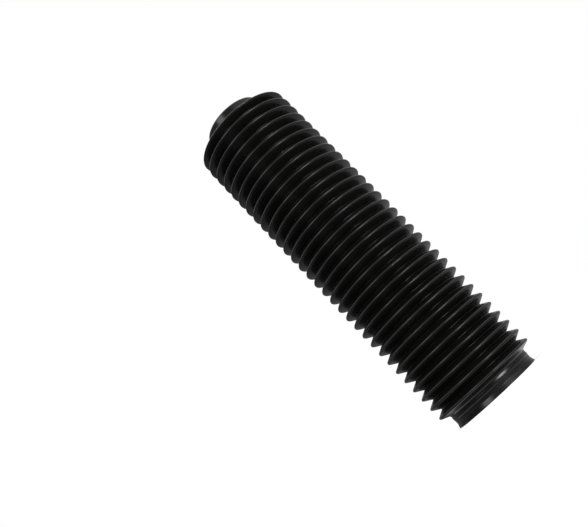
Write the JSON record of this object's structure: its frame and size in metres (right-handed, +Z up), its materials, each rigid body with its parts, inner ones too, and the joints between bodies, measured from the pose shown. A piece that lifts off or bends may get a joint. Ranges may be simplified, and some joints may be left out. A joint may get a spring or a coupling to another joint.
{
  "type": "fork gaiter",
  "caption": "Ribbed rubber bellows sleeve that covers a motorcycle fork tube, with a wide clamp collar at one end and a narrow one at the other.",
  "frame": {"origin": "centre of the wide collar's lip, in the plane that the gaiter stands on", "axes": "+Z up the gaiter's axis, from the wide collar to the narrow collar; X and Y are equivalent because it is round"},
  "size_m": [0.067, 0.067, 0.2325],
  "materials": {
    "rubber_moulding": "satin moulded skin"
  },
  "bodies": {
    "root": {"gaiter": "rubber_moulding"}
  },
  "joints": []
}
